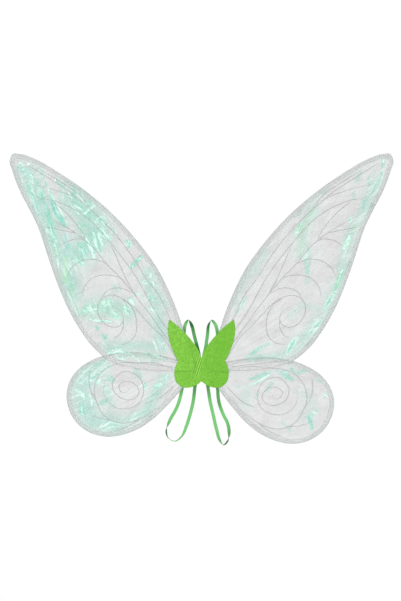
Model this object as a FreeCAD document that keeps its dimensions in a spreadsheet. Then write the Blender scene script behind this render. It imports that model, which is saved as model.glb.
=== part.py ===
"""Costume fairy wings: four wire-framed film wings on a folding felt butterfly, with two elastic arm loops.

Frame: +X to the right as seen from behind the wearer, +Z up, +Y towards the wearer's back. The origin is
the middle of the outer face of the strap patch, which rests against the wearer. Millimetres.
"""
import FreeCAD, Part
import math
import os

Vector = FreeCAD.Vector

# Driving dimensions, in millimetres and degrees.
SIZES = {
    "wing_scale": 1.0,            # 1.0 gives a span of 902
    "lower_droop": 2.2,           # the right lower wing is bent down by this angle, the left one up
    "wire_diameter": 1.8,
    "wire_inset": 3.4,            # outer edge of a wing to the middle of its wire
    "film_gauge": 0.15,
    "hem_width": 11.0,
    "hem_depth": 2.8,
    "hem_skin": 0.3,
    "felt_gauge": 1.2,
    "board_gauge": 0.8,
    "board_margin": 4.0,          # the felt reaches this far past the board all round
    "strap_width": 8.0,
    "strap_gauge": 1.0,
    "patch_width": 16.0,
    "patch_height": 30.0,
    "patch_gauge": 1.5,
    "patch_centre": 3.0,          # height of the patch's middle above the origin
    "slack": 0.3,                 # free gap between layers that move on each other
    "ply_gap": 0.1,               # gap between layers of one body
    "fold_offset": 9.0,           # the two fold lines stand this far each side of the middle
    "web_half": 6.0,              # half the width of the felt between the fold lines
    "felt_slope": 10.0,           # the front felt climbs from the fold line to full height over this width
    "strap_hinge": 10.5,          # the arm loops swing on lines this far each side of the middle
    "hinge_gap": 0.8,             # each swing line to the end of the loop or of its tail
}

# The right-hand wing outlines, as (x, z) points of one smooth curve from root to root.
UPPER_WING = [(20, 14), (35, 67), (51, 118), (73, 174), (107, 240), (153, 302), (209, 363), (270, 415),
              (335, 460), (389, 491), (428, 504), (443, 504), (450, 493), (443, 458), (426, 414), (402, 368),
              (383, 328), (372, 296), (358, 252), (341, 204), (317, 146), (287, 92), (251, 45), (212, 15),
              (165, 1), (110, -6), (60, -6), (20, -4)]
LOWER_WING = [(20, 9), (59, 19), (100, 27), (145, 32), (185, 31), (221, 24), (255, 11), (285, -9),
              (306, -36), (315, -68), (311, -101), (294, -134), (263, -159), (223, -170), (182, -165),
              (145, -150), (110, -125), (76, -90), (44, -51), (20, -14)]

# The right half of the felt butterfly, as smooth runs that meet at corners: notch, tip, waist, notch.
FELT_RUNS = [[(0, 23), (7, 42), (20, 61), (37, 81), (56, 99), (76, 115)],
             [(76, 115), (79, 94), (77, 71), (70, 47), (55, 16)],
             [(55, 16), (62, 2), (64, -17), (57, -36), (40, -46), (24, -45), (10, -39), (0, -31)]]

# The middle lines of the arm loops, from the upper crossing of the fold line round to the lower one.
LEFT_LOOP = [(-10.5, 51), (-17, 76), (-24, 104), (-31, 113), (-38, 104), (-41, 82), (-43, 20), (-46, -49),
             (-57, -90), (-75, -124), (-83, -148), (-78, -165), (-62, -172), (-46, -160), (-36, -138),
             (-26, -106), (-19, -75), (-15.5, -44), (-10.5, -18)]
RIGHT_LOOP = [(10.5, 51), (14, 78), (17, 104), (24, 112), (32, 104), (37, 86), (38.5, 20), (38, -48),
              (41, -80), (51, -109), (61, -129), (65, -150), (62, -171), (52, -181), (43, -170),
              (35, -143), (27, -108), (20, -77), (15, -44), (10.5, -18)]
# The stitched-down stretch of each loop, as (distance from the middle, z).
TAIL = [(9.5, 47), (5.2, 27), (4.4, 5), (6.2, -6), (9.5, -15)]

DOC = FreeCAD.newDocument("FairyWings")
SHEET = DOC.addObject("Spreadsheet::Sheet", "Sizes")


def fill_sheet():
    for row, (name, value) in enumerate(SIZES.items(), start=1):
        SHEET.set(f"A{row}", name)
        SHEET.set(f"B{row}", str(value))
        SHEET.setAlias(f"B{row}", name)
    DOC.recompute()


def size(name):
    """A driving dimension, read back from the sheet."""
    return float(SHEET.get(name))


def level(expression):
    """The value of an expression on the sheet, for shapes that are drawn from numbers."""
    probe = DOC.addObject("App::FeaturePython", "Probe")
    probe.addProperty("App::PropertyFloat", "Level")
    probe.setExpression("Level", expression)
    DOC.recompute()
    value = probe.Level
    DOC.removeObject(probe.Name)
    return value


# ---- curves made of tangent arcs ----

def turn(v):
    """The vector turned a quarter to the left, in the (x, z) plane."""
    return (-v[1], v[0])


def unit(v):
    size = math.hypot(*v)
    return (v[0] / size, v[1] / size)


def circle_tangent(before, here, after):
    """The direction at here of the circle through three points."""
    a = (here[0] - before[0], here[1] - before[1])
    b = (after[0] - here[0], after[1] - here[1])
    la, lb = math.hypot(*a), math.hypot(*b)
    return unit((a[0] * lb / la + b[0] * la / lb, a[1] * lb / la + b[1] * la / lb))


def tangents(points):
    inner = [circle_tangent(*points[i - 1:i + 2]) for i in range(1, len(points) - 1)]

    def end(p, q, t):
        chord = unit((q[0] - p[0], q[1] - p[1]))
        along = chord[0] * t[0] + chord[1] * t[1]
        return unit((2 * along * chord[0] - t[0], 2 * along * chord[1] - t[1]))

    if not inner:
        chord = unit((points[1][0] - points[0][0], points[1][1] - points[0][1]))
        return [chord, chord]
    return [end(points[0], points[1], inner[0]), *inner, end(points[-2], points[-1], inner[-1])]


def one_arc(p, t, q):
    """The arc from p, along t, to q: its end and middle points with the direction at each."""
    chord = (q[0] - p[0], q[1] - p[1])
    angle = math.atan2(t[0] * chord[1] - t[1] * chord[0], t[0] * chord[0] + t[1] * chord[1])
    half = math.tan(angle / 2) / 2
    left = turn(chord)
    middle = ((p[0] + q[0]) / 2 - left[0] * half, (p[1] + q[1]) / 2 - left[1] * half)
    cos, sin = math.cos(2 * angle), math.sin(2 * angle)
    last = (t[0] * cos - t[1] * sin, t[0] * sin + t[1] * cos)
    return {"points": (p, middle, q), "directions": (t, unit(chord), last), "angle": angle}


def arc_chain(points):
    """Tangent arcs through the points, two to each span."""
    chain, directions = [], tangents(points)
    for p, q, a, b in zip(points, points[1:], directions, directions[1:]):
        v, s = (q[0] - p[0], q[1] - p[1]), (a[0] + b[0], a[1] + b[1])
        vs, vv, bend = v[0] * s[0] + v[1] * s[1], v[0] ** 2 + v[1] ** 2, 1 - a[0] * b[0] - a[1] * b[1]
        reach = vv / (2 * vs) if bend < 1e-7 else (-vs + math.sqrt(vs * vs + 2 * bend * vv)) / (2 * bend)
        join = ((p[0] + q[0] + reach * (a[0] - b[0])) / 2, (p[1] + q[1] + reach * (a[1] - b[1])) / 2)
        first = one_arc(p, a, join)
        chain += [first, one_arc(join, first["directions"][2], q)]
    return chain


def shifted(chain, distance):
    """The chain moved sideways, to the left of its direction."""
    moved = []
    for arc in chain:
        points = []
        for p, t in zip(arc["points"], arc["directions"]):
            left = turn(t)
            points.append((p[0] + left[0] * distance, p[1] + left[1] * distance))
        moved.append({**arc, "points": tuple(points)})
    return moved


def backwards(chain):
    return [{**arc, "points": arc["points"][::-1]} for arc in reversed(chain)]


def straight(p, q):
    return {"points": (p, ((p[0] + q[0]) / 2, (p[1] + q[1]) / 2), q), "angle": 0.0}


def geometry(arc):
    p, m, q = (Vector(x, z, 0) for x, z in arc["points"])
    if abs(arc["angle"]) < 1e-4:
        return Part.LineSegment(p, q)
    return Part.Arc(p, m, q)


def mirrored(points):
    """The points on the other side of the middle, in the opposite order."""
    return [(-x, z) for x, z in reversed(points)]


def scaled(points):
    return [(x * size("wing_scale"), z * size("wing_scale")) for x, z in points]


def tilted(points, degrees):
    """The points turned about the middle of the root, positive from +X to +Z."""
    a = math.radians(degrees)
    return [(x * math.cos(a) - z * math.sin(a), x * math.sin(a) + z * math.cos(a)) for x, z in points]


# ---- document objects ----

def profile(name, arcs):
    """A sketch of the arcs on a plane of constant y, with the sketch's second direction along +Z."""
    sketch = DOC.addObject("Sketcher::SketchObject", name)
    sketch.addGeometry([geometry(arc) for arc in arcs], False)
    sketch.Placement = FreeCAD.Placement(Vector(0, 0, 0), FreeCAD.Rotation(Vector(1, 0, 0), 90))
    return sketch


def slab(name, sketch, depth, back):
    """The sketch's area from y = back, reaching depth towards -Y. Both are expressions on the sheet."""
    solid = DOC.addObject("Part::Extrusion", name)
    solid.Base = sketch
    solid.DirMode = "Custom"
    solid.Dir = Vector(0, -1, 0)
    solid.Solid = True
    solid.setExpression("LengthFwd", depth)
    solid.setExpression("Placement.Base.y", back)
    return solid


def inset(name, sketch, distance):
    ring = DOC.addObject("Part::Offset2D", name)
    ring.Source = sketch
    ring.Join = 0
    ring.setExpression("Value", f"-({distance})")
    return ring


def cut(name, base, tool):
    result = DOC.addObject("Part::Cut", name)
    result.Base, result.Tool = base, tool
    return result


def common(name, base, tool):
    result = DOC.addObject("Part::Common", name)
    result.Base, result.Tool = base, tool
    return result


def block(name, low_x, high_x):
    """A box that keeps what lies between two x values. Both are expressions on the sheet."""
    box = DOC.addObject("Part::Box", name)
    box.Width, box.Height = CLEAR, CLEAR
    box.Placement.Base = Vector(0, -CLEAR / 2, -CLEAR / 2)
    box.setExpression("Length", f"({high_x}) - ({low_x})")
    box.setExpression("Placement.Base.x", low_x)
    return box


PARTS = []
CLEAR = 400.0                     # a length that reaches past the felt and the arm loops in every direction


def sub_part(obj, label):
    obj.Label = label
    PARTS.append(obj)
    return obj


# Levels along Y, from the wearer outwards. Each is the back face of its layer.
S = "Sizes."
STRAP_BACK = f"-{S}patch_gauge"
WEB_BACK = f"({STRAP_BACK}) - {S}strap_gauge"
FELT_BACK = f"({WEB_BACK}) - {S}slack"
BOARD_BACK = f"({FELT_BACK}) - {S}felt_gauge"
LOWER_BACK = f"({BOARD_BACK}) - {S}board_gauge - {S}ply_gap"
UPPER_BACK = f"({LOWER_BACK}) - {S}hem_depth - {S}slack"
FRONT_FELT_BACK = f"({UPPER_BACK}) - {S}hem_depth - {S}ply_gap"


def wing(side, which, points, back):
    """One wing: its wire, two plies of film and the hem that wraps their edge. back is its hem's back."""
    name = f"{which}_{side}"
    run = arc_chain(points)
    outline = profile(f"{name}_outline", run + [straight(points[-1], points[0])])
    skin_line = inset(f"{name}_skin_line", outline, f"{S}hem_skin")
    hem_line = inset(f"{name}_hem_line", outline, f"{S}hem_width")

    whole = slab(f"{name}_hem_blank", outline, f"{S}hem_depth", back)
    middle = slab(f"{name}_hem_middle", hem_line, f"{S}hem_depth", back)
    slot = slab(f"{name}_hem_slot", skin_line, f"{S}hem_depth - 2 * {S}hem_skin", f"({back}) - {S}hem_skin")
    ring = cut(f"{name}_hem_ring", whole, middle)
    sub_part(cut(f"{name}_hem_cut", ring, slot), f"{name}_hem")

    front_ply = f"({back}) - {S}hem_depth + {S}hem_skin + {S}film_gauge"
    sub_part(slab(f"{name}_ply_back", skin_line, f"{S}film_gauge", f"({back}) - {S}hem_skin"),
             f"{name}_film_back")
    sub_part(slab(f"{name}_ply_front", skin_line, f"{S}film_gauge", front_ply), f"{name}_film_front")
    sub_part(wing_wire(name, points, back), f"{name}_wire")


def wing_wire(name, points, back):
    """The wire that runs round just inside the edge, with both ends in the hub."""
    ends_in = 3.5                                  # the wire stops short of the pouch's root edge
    sign = 1 if points[0][0] > 0 else -1
    path = [(points[0][0] + sign * ends_in, points[0][1]), *points[1:-1],
            (points[-1][0] + sign * ends_in, points[-1][1])]
    inward = -size("wire_inset")                   # the outlines run clockwise, so inside is to the right
    spine = profile(f"{name}_wire_path", shifted(arc_chain(path), inward))
    start, towards = spine.Geometry[0].StartPoint, arc_chain(path)[0]["directions"][0]
    ring = DOC.addObject("Part::Circle", f"{name}_wire_section")
    ring.setExpression("Radius", f"{S}wire_diameter / 2")
    ring.Placement = FreeCAD.Placement(Vector(start.x, 0, start.y),
                                       FreeCAD.Rotation(Vector(0, 0, 1), Vector(towards[0], 0, towards[1])))
    sweep = DOC.addObject("Part::Sweep", f"{name}_wire_sweep")
    sweep.Sections = [ring]
    sweep.Spine = (spine, [])
    sweep.Solid = True
    sweep.Frenet = False
    sweep.setExpression("Placement.Base.y", f"({back}) - {S}hem_depth / 2")
    return sweep


def felt_outline():
    right = [arc for run in FELT_RUNS for arc in arc_chain(run)]
    left = [arc for run in reversed(FELT_RUNS) for arc in arc_chain(mirrored(run))]
    return profile("felt_outline", right + left)


def front_felt_bend(side):
    """The bent cross-section of one half of the front felt, full height: low at the fold, then level."""
    sign = 1 if side == "right" else -1
    fold, gauge, slope = size("fold_offset"), size("felt_gauge"), size("felt_slope")
    low, high = level(BOARD_BACK), level(FRONT_FELT_BACK)
    reach = 90.0                                   # past the felt's widest point
    climb = math.hypot(slope, low - high)
    skew = gauge * climb / slope
    knee = slope - gauge * (climb - slope) / (low - high)
    corners = [(fold, low), (fold + slope, high), (reach, high), (reach, high - gauge),
               (fold + knee, high - gauge), (fold, low - skew)]
    sketch = DOC.addObject("Sketcher::SketchObject", f"front_felt_section_{side}")
    pairs = zip(corners, corners[1:] + corners[:1])
    sketch.addGeometry([Part.LineSegment(Vector(sign * a[0], a[1], 0), Vector(sign * b[0], b[1], 0))
                        for a, b in pairs], False)
    bend = DOC.addObject("Part::Extrusion", f"front_felt_bend_{side}")
    bend.Base = sketch
    bend.DirMode = "Custom"
    bend.Dir = Vector(0, 0, 1)
    bend.Solid = True
    bend.Symmetric = True
    bend.LengthFwd = CLEAR
    return bend


def beyond(name, side, near):
    """A box that keeps what lies further than near from the middle, on one side."""
    if side == "right":
        return block(name, near, str(CLEAR))
    return block(name, str(-CLEAR), f"-({near})")


def hub(side, felt):
    """One folding half of the hub: front felt, stiffening board and back felt."""
    through = slab(f"felt_through_{side}", felt, str(CLEAR), str(CLEAR / 2))
    bent = common(f"front_felt_bent_{side}", front_felt_bend(side), through)
    sub_part(bent, f"front_felt_{side}")
    sheet = slab(f"back_felt_sheet_{side}", felt, f"{S}felt_gauge", FELT_BACK)
    half = beyond(f"half_{side}", side, f"{S}fold_offset")
    sub_part(common(f"back_felt_half_{side}", sheet, half), f"back_felt_{side}")
    line = inset(f"board_line_{side}", felt, f"{S}board_margin")
    plate = slab(f"board_plate_{side}", line, f"{S}board_gauge", BOARD_BACK)
    half = beyond(f"board_side_{side}", side, f"{S}fold_offset + {S}board_margin")
    sub_part(common(f"board_half_{side}", plate, half), f"hub_board_{side}")


def ribbon(name, points, back):
    """A flat strap along the points, lying in a plane of constant y."""
    half = size("strap_width") / 2
    run = arc_chain(points)
    near, far = shifted(run, half), backwards(shifted(run, -half))
    last_end = straight(near[-1]["points"][2], far[0]["points"][0])
    first_end = straight(far[-1]["points"][2], near[0]["points"][0])
    outline = profile(f"{name}_outline", near + [last_end] + far + [first_end])
    return slab(name, outline, f"{S}strap_gauge", back)


def strap(side, points):
    """An arm loop: the part that swings, and the tail that the patch holds down. Each is drawn past the
    swing line, then trimmed short of it."""
    sign = 1 if side == "right" else -1
    over_x, over_top, over_bottom = sign * 6.0, 18.0, 12.0
    (top_x, top_z), (low_x, low_z) = points[0], points[-1]
    long_loop = [(top_x - over_x, top_z - over_top), *points, (low_x - over_x, low_z + over_bottom)]
    keep = beyond(f"{side}_loop_side", side, f"{S}strap_hinge + {S}hinge_gap")
    loop = common(f"{side}_loop_trimmed", ribbon(f"{side}_loop", long_loop, STRAP_BACK), keep)
    sub_part(loop, f"{side}_strap_loop")

    tail = [(sign * x, z) for x, z in TAIL]
    (top_x, top_z), (low_x, low_z) = tail[0], tail[-1]
    long_tail = [(top_x + over_x, top_z + over_top), *tail, (low_x + over_x, low_z - over_bottom)]
    span = [f"{S}slack", f"{S}strap_hinge - {S}hinge_gap"]
    if side == "left":
        span = [f"-({end})" for end in reversed(span)]
    held = common(f"{side}_tail_trimmed", ribbon(f"{side}_tail", long_tail, STRAP_BACK),
                  block(f"{side}_tail_side", *span))
    sub_part(held, f"{side}_strap_tail")


def spine(felt):
    """What stays with the wearer: the felt between the fold lines and the patch over the strap tails."""
    sheet = slab("web_sheet", felt, f"{S}felt_gauge + {S}slack", WEB_BACK)
    strip = block("web_strip", f"-{S}web_half", f"{S}web_half")
    sub_part(common("web", sheet, strip), "centre_web")
    patch = DOC.addObject("Part::Box", "patch")
    patch.setExpression("Length", f"{S}patch_width")
    patch.setExpression("Width", f"{S}patch_gauge")
    patch.setExpression("Height", f"{S}patch_height")
    patch.setExpression("Placement.Base.x", f"-{S}patch_width / 2")
    patch.setExpression("Placement.Base.y", f"-{S}patch_gauge")
    patch.setExpression("Placement.Base.z", f"{S}patch_centre - {S}patch_height / 2")
    sub_part(patch, "strap_patch")


def build():
    fill_sheet()
    droop = size("lower_droop")
    upper, lower = scaled(UPPER_WING), scaled(LOWER_WING)
    left_upper = [(-x, z) for x, z in upper]
    left_lower = [(-x, z) for x, z in tilted(lower, droop)]
    wing("right", "upper", upper, UPPER_BACK)
    wing("right", "lower", tilted(lower, -droop), LOWER_BACK)
    wing("left", "upper", left_upper[::-1], UPPER_BACK)
    wing("left", "lower", left_lower[::-1], LOWER_BACK)
    felt = felt_outline()
    for side in ("left", "right"):
        hub(side, felt)
    spine(felt)
    strap("left", LEFT_LOOP)
    strap("right", RIGHT_LOOP)
    DOC.recompute()


def write():
    os.makedirs("parts", exist_ok=True)
    for obj in DOC.Objects:
        bad = [word for word in ("Invalid", "Error") if word in obj.State]
        if bad:
            raise RuntimeError(f"{obj.Name} is {obj.State}")
    for obj in PARTS:
        if obj.Shape.isNull() or not obj.Shape.isValid() or not obj.Shape.Solids:
            raise RuntimeError(f"{obj.Label} has no valid solid")
    for obj in PARTS:
        obj.Shape.exportStep(f"parts/{obj.Label}.step")
        box = obj.Shape.BoundBox
        print(f"{obj.Label:24s} volume {obj.Shape.Volume:9.1f}  x {box.XMin:7.1f} {box.XMax:7.1f}"
              f"  y {box.YMin:6.2f} {box.YMax:6.2f}  z {box.ZMin:7.1f} {box.ZMax:7.1f}")


build()
write()
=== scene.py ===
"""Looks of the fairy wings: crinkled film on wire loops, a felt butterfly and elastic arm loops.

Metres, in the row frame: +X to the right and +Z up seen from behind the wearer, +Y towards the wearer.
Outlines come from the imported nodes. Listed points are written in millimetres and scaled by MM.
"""
import math

import bmesh
import bpy
import numpy as np
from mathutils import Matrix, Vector, noise
from mathutils.bvhtree import BVHTree
from mathutils.geometry import delaunay_2d_cdt


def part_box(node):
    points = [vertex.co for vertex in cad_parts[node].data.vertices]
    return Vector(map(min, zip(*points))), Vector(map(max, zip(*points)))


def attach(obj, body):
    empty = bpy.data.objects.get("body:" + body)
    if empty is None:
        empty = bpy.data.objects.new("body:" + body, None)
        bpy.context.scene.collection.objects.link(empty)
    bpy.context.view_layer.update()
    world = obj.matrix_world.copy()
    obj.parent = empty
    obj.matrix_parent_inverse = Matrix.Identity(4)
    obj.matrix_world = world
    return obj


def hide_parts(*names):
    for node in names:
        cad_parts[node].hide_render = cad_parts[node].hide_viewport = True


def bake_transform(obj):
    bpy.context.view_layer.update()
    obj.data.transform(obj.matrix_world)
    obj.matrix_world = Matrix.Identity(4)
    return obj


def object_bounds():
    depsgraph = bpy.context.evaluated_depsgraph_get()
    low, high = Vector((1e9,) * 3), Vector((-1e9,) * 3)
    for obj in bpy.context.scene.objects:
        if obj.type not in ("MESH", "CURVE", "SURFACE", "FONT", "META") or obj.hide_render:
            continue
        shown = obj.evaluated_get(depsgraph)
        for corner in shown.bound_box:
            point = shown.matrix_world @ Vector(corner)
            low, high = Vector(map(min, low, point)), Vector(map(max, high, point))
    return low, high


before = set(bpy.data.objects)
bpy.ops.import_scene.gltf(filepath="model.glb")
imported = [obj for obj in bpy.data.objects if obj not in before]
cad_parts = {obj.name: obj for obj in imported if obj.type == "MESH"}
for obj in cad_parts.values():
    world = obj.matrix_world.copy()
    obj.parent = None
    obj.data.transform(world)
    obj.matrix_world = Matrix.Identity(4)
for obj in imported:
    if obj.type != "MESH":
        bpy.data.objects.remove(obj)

CAD_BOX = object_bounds()
MM = 0.001
SIDES = {"left": -1, "right": 1}

# ---------------------------------------------------------------- driving sizes
FILM_STEP = 2.1 * MM            # mesh size of the film
FELT_STEP = 1.6 * MM
FELT_THICK = 1.3 * MM
HEM_WIDTH = 11.0 * MM
PLY_RISE = 1.15 * MM            # each ply's distance from the wire's plane
FACET_LIGHT_GAIN = 7.0                 # how strongly painted light and shade on the film follow how its wrinkles face the key light
HEM_STEP = 2.6 * MM             # mesh size along the hem
PUCKER = 7.5 * MM               # length of one pucker along the hem
VEIN_HALF_WIDTH = 0.8 * MM
VEIN_RISE = 0.55 * MM
RIBBON_WIDTH = 8.0 * MM
RIBBON_THICK = 0.8 * MM
DROOP = 2.2                     # degrees that the right lower wing is bent down, and the left one up
FLOOR_DROP = 0.45
VIEW_HEIGHT = 1.416             # height of what the camera sees at the wings
ROOT = np.array([12.0, 6.0]) * MM      # the pleats of each wing run out from here, in the right wing

# ---------------------------------------------------------------- veins, right wing, (x, z) in mm
UPPER_VEINS = [
    [(72, 112), (101, 172), (128, 208), (168, 270), (209, 322), (262, 374), (295, 400), (349, 420),
     (402, 433)],
    [(262, 376), (285, 406), (349, 449), (374, 464)],
    [(288, 398), (324, 424), (390, 466), (421, 485)],
    [(66, 73), (96, 113), (114, 143), (157, 219), (211, 291), (263, 348), (308, 378), (351, 395),
     (382, 400), (407, 418)],
    [(149, 162), (161, 180), (179, 214), (202, 266), (215, 293)],
    [(61, 44), (79, 66), (113, 115), (149, 162), (190, 212), (224, 246), (255, 284), (299, 320), (349, 348),
     (371, 360)],
    [(273, 303), (283, 323), (316, 363), (352, 393)],
    [(298, 318), (321, 323), (367, 332)],
    [(272, 299), (286, 304), (303, 302), (318, 297), (331, 287)],
    [(224, 246), (238, 252), (258, 256), (280, 253), (296, 244), (309, 230), (317, 212)],
    [(188, 210), (202, 216), (222, 219), (244, 217), (262, 208), (276, 190), (282, 165)],
    [(164, 177), (184, 187), (207, 188), (226, 179), (238, 161)],
    [(58, 20), (87, 68), (119, 100), (141, 125), (160, 145), (183, 162), (206, 171), (224, 169), (237, 160),
     (244, 145), (242, 126), (230, 107), (212, 97), (196, 98), (187, 106), (184, 120), (190, 134),
     (203, 142), (216, 139), (222, 129)],
    [(190, 164), (169, 150), (157, 130), (152, 104), (155, 80), (166, 65), (184, 57), (205, 57)],
    [(184, 116), (184, 97), (192, 80), (209, 69)],
    [(64, 2), (110, 8), (165, 14), (207, 21)],
]
LOWER_VEINS = [
    [(164, -62), (176, -72), (187, -67), (190, -55), (178, -46), (160, -46), (147, -56), (142, -70),
     (150, -82), (165, -88), (184, -84), (200, -72), (206, -52), (198, -35), (181, -22), (160, -24),
     (142, -36), (133, -54), (133, -76), (143, -96), (163, -107), (190, -109), (212, -97), (225, -75),
     (224, -50)],
    [(66, -7), (112, 4), (163, 0), (192, -3), (222, -17), (242, -42), (248, -72), (241, -96), (226, -122),
     (203, -139), (176, -143), (146, -135), (112, -114), (84, -88), (62, -50)],
    [(205, -137), (223, -137), (250, -130)],
    [(259, -24), (262, -47), (255, -74), (243, -94)],
    [(132, -128), (154, -145), (175, -156), (196, -164)],
    [(60, -44), (85, -70), (104, -84), (130, -93)],
]

# ---------------------------------------------------------------- iridescent crinkles and painted glints
# Each is (half width in mm, strength, warmth, painted glint, points in mm along it). Strength 1 is full mint.
# Warmth 1 is yellow-green and -1 is teal. Painted glint above 0 is the share of painted white highlight
# streaks, 0 is a soft haze, and below 0 is a leaf-shaped fold with a painted white highlight along its rim.
LEFT_UPPER_SHINE = [
    (34, 0.42, -0.2, 0, (-410, 455), (-372, 370), (-345, 300), (-318, 240), (-305, 170)),
    (48, 0.46, 0.0, 0, (-300, 400), (-262, 350), (-250, 310), (-290, 270)),
    (32, 0.42, 0.2, 0, (-262, 140), (-220, 142), (-180, 134)),
    (26, 0.34, -0.4, 0, (-124, 220), (-108, 150), (-95, 80), (-100, 50)),
    (20, 0.30, -0.3, 0, (-225, 55), (-150, 52), (-90, 45)),
    (6, 0.75, -0.2, 0.3, (-430, 472), (-412, 460), (-402, 451)),
    (5, 0.6, 0.0, 0.6, (-426, 483), (-420, 476)),
    (6, 0.75, 0.0, 0.35, (-413, 451), (-404, 419), (-393, 388), (-384, 361)),
    (2.4, 0.8, 0.0, 1.0, (-401, 456), (-395, 432)),
    (5, 0.8, 0.0, 0.25, (-385, 438), (-377, 413), (-368, 388)),
    (7, 0.85, 0.0, 0.3, (-366, 380), (-358, 356), (-354, 325), (-345, 305)),
    (2.2, 0.8, 0.0, 1.0, (-358, 339), (-351, 316)),
    (2.0, 0.8, 0.0, 1.0, (-368, 438), (-358, 416), (-346, 394), (-330, 367), (-314, 339)),
    (8, 0.80, -0.4, 0.25, (-355, 403), (-337, 358), (-321, 334)),
    (4, 0.7, -0.5, 0.4, (-384, 469), (-374, 460), (-373, 446)),
    (4, 0.8, -0.4, 0.4, (-343, 446), (-334, 436), (-324, 425)),
    (4, 0.7, 0.0, 1.0, (-312, 414), (-305, 400)),
    (4, 0.7, 0.0, 0.6, (-299, 412), (-282, 407)),
    (3, 0.8, 0.0, 1.0, (-299, 383), (-286, 375), (-274, 362), (-266, 372), (-251, 382)),
    (6, 0.8, 0.0, 0.5, (-279, 383), (-258, 390)),
    (7, 0.7, 0.2, 0.4, (-289, 340), (-278, 315)),
    (5, 0.9, 0.0, 1.0, (-271, 304), (-257, 277), (-252, 260)),
    (4, 0.9, 0.0, 1.0, (-254, 318), (-248, 290), (-241, 279)),
    (4, 0.9, 0.3, 1.0, (-243, 316), (-232, 290)),
    (7, 0.9, 0.0, 0.9, (-236, 330), (-226, 312), (-216, 302)),
    (7, 0.8, 0.0, 0.7, (-249, 346), (-232, 350), (-221, 335)),
    (5, 0.7, -0.4, 0.1, (-262, 322), (-250, 300), (-236, 272)),
    (9, 0.85, -0.1, 0.7, (-286, 288), (-277, 272), (-270, 260)),
    (7, 0.85, 0.0, 0.6, (-301, 254), (-290, 250), (-280, 245)),
    (8, 0.7, -0.8, 0.1, (-318, 312), (-315, 285), (-314, 266)),
    (15, 0.58, 0.55, 0, (-320, 256), (-316, 232), (-320, 208)),
    (13, 0.50, 0.3, 0, (-314, 218), (-308, 190), (-304, 168)),
    (10, 0.40, 0.3, 0, (-302, 180), (-298, 150), (-290, 128)),
    (2.2, 0.9, 1.0, 0.6, (-346, 294), (-338, 266)),
    (2.2, 0.9, 0.0, 1.0, (-340, 260), (-335, 238)),
    (5, 0.75, -0.2, 0.2, (-352, 300), (-344, 280)),
    (3, 0.7, 0.0, 0.6, (-207, 330), (-203, 312)),
    (5, 0.75, 0.0, 0.5, (-174, 300), (-172, 286)),
    (2.5, 0.7, 0.2, 1.0, (-166, 298), (-164, 284)),
    (6, 0.8, -0.1, 0.35, (-166, 236), (-154, 248), (-142, 262)),
    (3.5, 0.8, 0.0, 1.0, (-164, 238), (-158, 243)),
    (3.5, 0.8, 0.0, 1.0, (-149, 254), (-143, 261)),
    (6, 0.7, 0.0, 0.9, (-137, 203), (-128, 200)),
    (4.5, 0.8, 0.0, 0.9, (-122, 222), (-119, 214)),
    (4, 0.8, 0.0, 0.9, (-114, 202), (-112, 194)),
    (8, 0.45, 0.0, 0.15, (-128, 190), (-114, 168), (-104, 140)),
    (5, 0.8, 0.0, 0.9, (-119, 168), (-115, 160)),
    (5, 0.8, 0.0, 0.7, (-121, 139), (-108, 136)),
    (5, 0.5, -0.5, 0.1, (-102, 184), (-92, 162), (-80, 140)),
    (12, 0.35, -0.8, 0.12, (-118, 112), (-102, 92), (-92, 60)),
    (16, 0.7, 0.25, 0.45, (-272, 138), (-244, 140), (-218, 152)),
    (7, 0.7, 1.0, 1.0, (-266, 141), (-259, 137)),
    (8, 0.8, 0.0, 0.9, (-231, 152), (-218, 160)),
    (3.2, 0.85, 0.2, 1.0, (-263, 115), (-240, 111), (-212, 110)),
    (7, 0.85, 0.1, 0.5, (-212, 128), (-195, 119)),
    (6, 0.7, 0.0, 0.4, (-284, 132), (-276, 126)),
    (7, 0.85, 0.0, 0.95, (-181, 143), (-172, 131)),
    (6, 0.85, 0.0, 0.95, (-169, 163), (-161, 151)),
    (2.5, 0.7, 0.0, 1.0, (-156, 175), (-145, 172)),
    (9, 0.35, 0.2, 0, (-205, 190), (-196, 186)),
    (5, 0.7, -0.1, 0.3, (-232, 78), (-225, 70)),
    (5, 0.6, -0.1, 0.2, (-249, 98), (-242, 90)),
    (6, 0.5, -0.2, 0.08, (-221, 44), (-181, 51), (-138, 55), (-106, 47)),
    (1.8, 0.6, 0.0, 1.0, (-222, 38), (-200, 44), (-180, 43)),
    (2.5, 0.7, 0.0, 1.0, (-113, 62), (-107, 56)),
    (4, 0.7, 0.0, 0.9, (-95, 60), (-92, 54)),
    (6, 0.6, -0.2, 0.4, (-91, 50), (-86, 42)),
    (3.0, 1.0, 0.2, 1.0, (-219, 34), (-196, 39), (-172, 36), (-150, 21), (-142, 10)),
    (3.0, 1.0, 0.2, 1.0, (-132, 35), (-107, 29), (-84, 18)),
    (5, 0.9, 0.0, 1.0, (-202, 30), (-190, 24), (-180, 18)),
    (11, 0.42, 0.2, 0, (-196, 26), (-150, 30), (-105, 20)),
    (4, 0.7, 0.0, 0.9, (-122, 22), (-120, 10)),
]
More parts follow.
